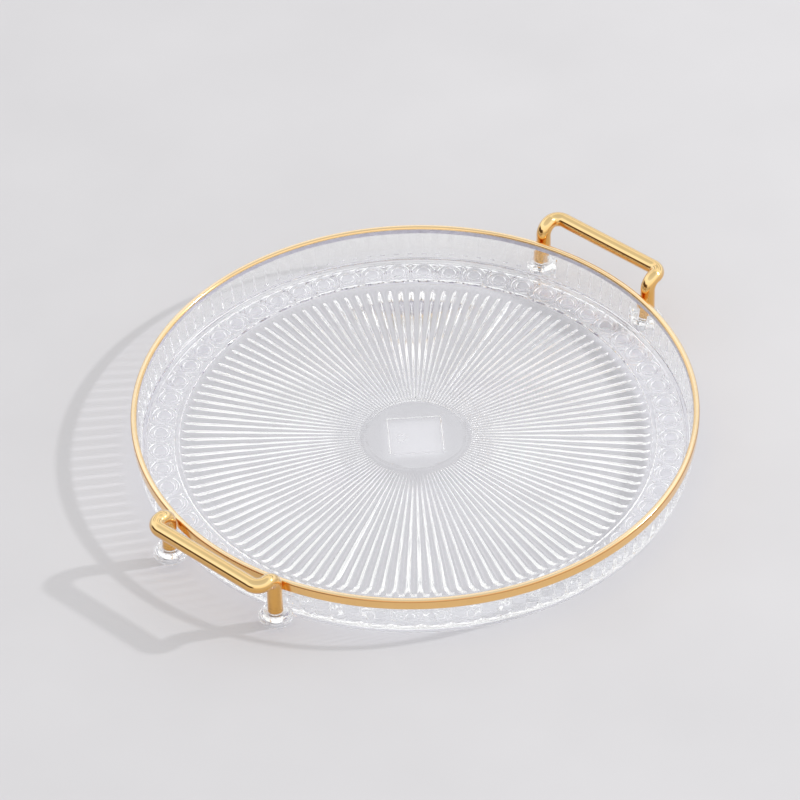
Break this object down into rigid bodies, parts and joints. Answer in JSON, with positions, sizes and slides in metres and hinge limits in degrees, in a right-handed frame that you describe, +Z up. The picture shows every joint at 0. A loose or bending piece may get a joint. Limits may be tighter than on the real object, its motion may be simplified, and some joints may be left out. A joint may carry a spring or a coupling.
{
  "type": "vanity tray",
  "caption": "Round clear fluted tray with a low ribbed wall, a gold band on the rim and two gold rod handles standing on clear lugs outside the wall.",
  "frame": {"origin": "centre of the tray on the surface it stands on, which is the bottom centre of the bounding box", "axes": "+Z up, +X towards the right handle, handles at +X and -X"},
  "size_m": [0.332, 0.3, 0.0366],
  "materials": {
    "clear_plastic": "clear injection-moulded polystyrene, polished",
    "gold_foil": "hot-stamped metallic gold film",
    "gold_plate": "mirror gold plating on steel rod",
    "zinc_steel": "bright zinc"
  },
  "bodies": {
    "root": {"tray_body": "clear_plastic", "rim_band": "gold_foil", "handle_left": "gold_plate", "handle_right": "gold_plate", "handle_screws": "zinc_steel"}
  },
  "joints": []
}
